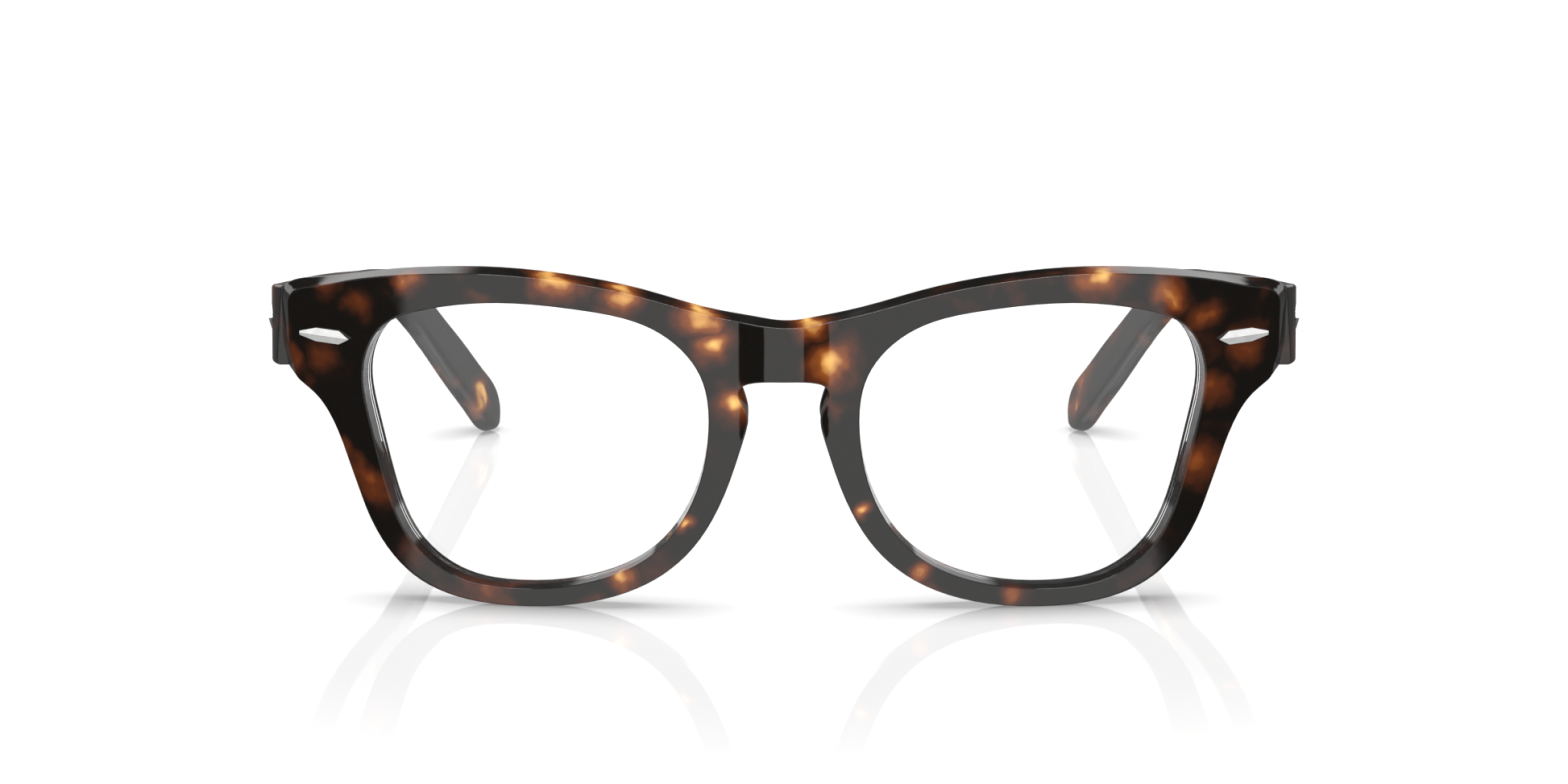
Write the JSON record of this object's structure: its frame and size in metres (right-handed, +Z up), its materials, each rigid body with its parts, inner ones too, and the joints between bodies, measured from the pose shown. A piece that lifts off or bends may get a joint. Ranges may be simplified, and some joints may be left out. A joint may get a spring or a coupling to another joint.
{
  "type": "eyeglasses frame",
  "caption": "Tortoiseshell acetate eyeglasses frame with keyhole bridge, clear lenses, lozenge plaques and folding temples on barrel hinges.",
  "frame": {"origin": "middle of the bounding box on the floor, under the open glasses", "axes": "+X toward the wearer's left, +Y back along the temples, +Z up; the glasses stand on the rims and the temple tips"},
  "size_m": [0.148, 0.1494, 0.0488],
  "materials": {
    "acetate": "polished tortoiseshell",
    "lens": "clear, uncoated",
    "silver_trim": "polished silver",
    "hinge_metal": "satin",
    "screw_metal": "satin",
    "wire_metal": "drawn"
  },
  "bodies": {
    "front": {"front_frame": "acetate", "left_lens": "lens", "left_nose_pad": "acetate", "left_front_plaque": "silver_trim", "left_front_leaf": "hinge_metal", "left_hinge_screw": "screw_metal", "right_lens": "lens", "right_nose_pad": "acetate", "right_front_plaque": "silver_trim", "right_front_leaf": "hinge_metal", "right_hinge_screw": "screw_metal"},
    "left_temple_body": {"left_temple": "acetate", "left_core_wire": "wire_metal", "left_temple_badge": "silver_trim", "left_temple_leaf": "hinge_metal"},
    "right_temple_body": {"right_temple": "acetate", "right_core_wire": "wire_metal", "right_temple_badge": "silver_trim", "right_temple_leaf": "hinge_metal"}
  },
  "joints": [
    {"name": "left_temple_fold", "type": "hinge", "parent": "front", "child": "left_temple_body", "pos_m": [0.0669, -0.05502, 0.03892], "axis": [0, -0.1045, 0.9945], "range_deg": [0, 84]},
    {"name": "right_temple_fold", "type": "hinge", "parent": "front", "child": "right_temple_body", "pos_m": [-0.0669, -0.05502, 0.03892], "axis": [0, 0.1045, -0.9945], "range_deg": [0, 75]}
  ]
}
